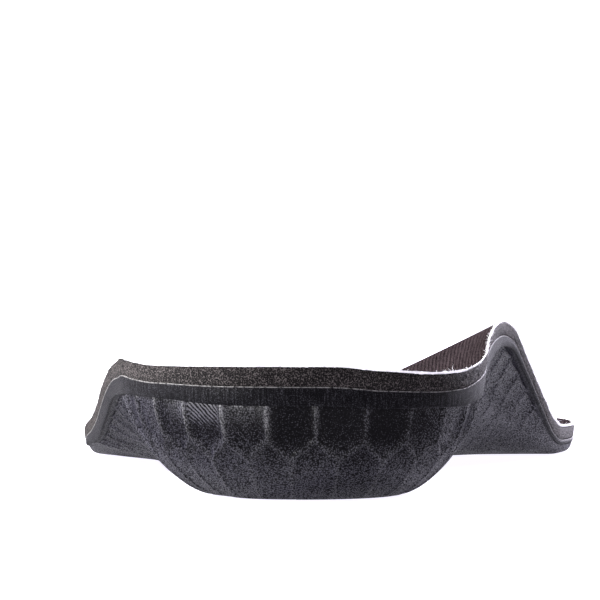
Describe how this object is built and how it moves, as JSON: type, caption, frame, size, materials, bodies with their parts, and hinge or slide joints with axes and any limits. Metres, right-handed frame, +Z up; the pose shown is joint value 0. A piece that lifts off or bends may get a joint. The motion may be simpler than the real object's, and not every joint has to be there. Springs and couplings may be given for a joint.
{
  "type": "shoe insole",
  "caption": "Full-length contoured left-foot insole: knit-covered foam sheet on a moulded base with a deep heel cup, a raised arch and ribbed flanks.",
  "frame": {"origin": "on the floor under the middle of the whole insole", "axes": "+Y from heel to toe, +X to the medial (arch) side of the left foot, +Z up"},
  "size_m": [0.0987, 0.276, 0.0295],
  "materials": {
    "knit_fabric": "dark brown-grey ribbed knit with a pale fuzzy cut edge",
    "open_cell_foam": "warm dark grey open-cell foam, grainy where it is cut",
    "moulded_foam": "charcoal compression-moulded foam with a fine pebble grain and a smooth trimmed band"
  },
  "bodies": {
    "root": {"top_cover": "knit_fabric", "cushion_foam": "open_cell_foam", "moulded_base": "moulded_foam"}
  },
  "joints": []
}
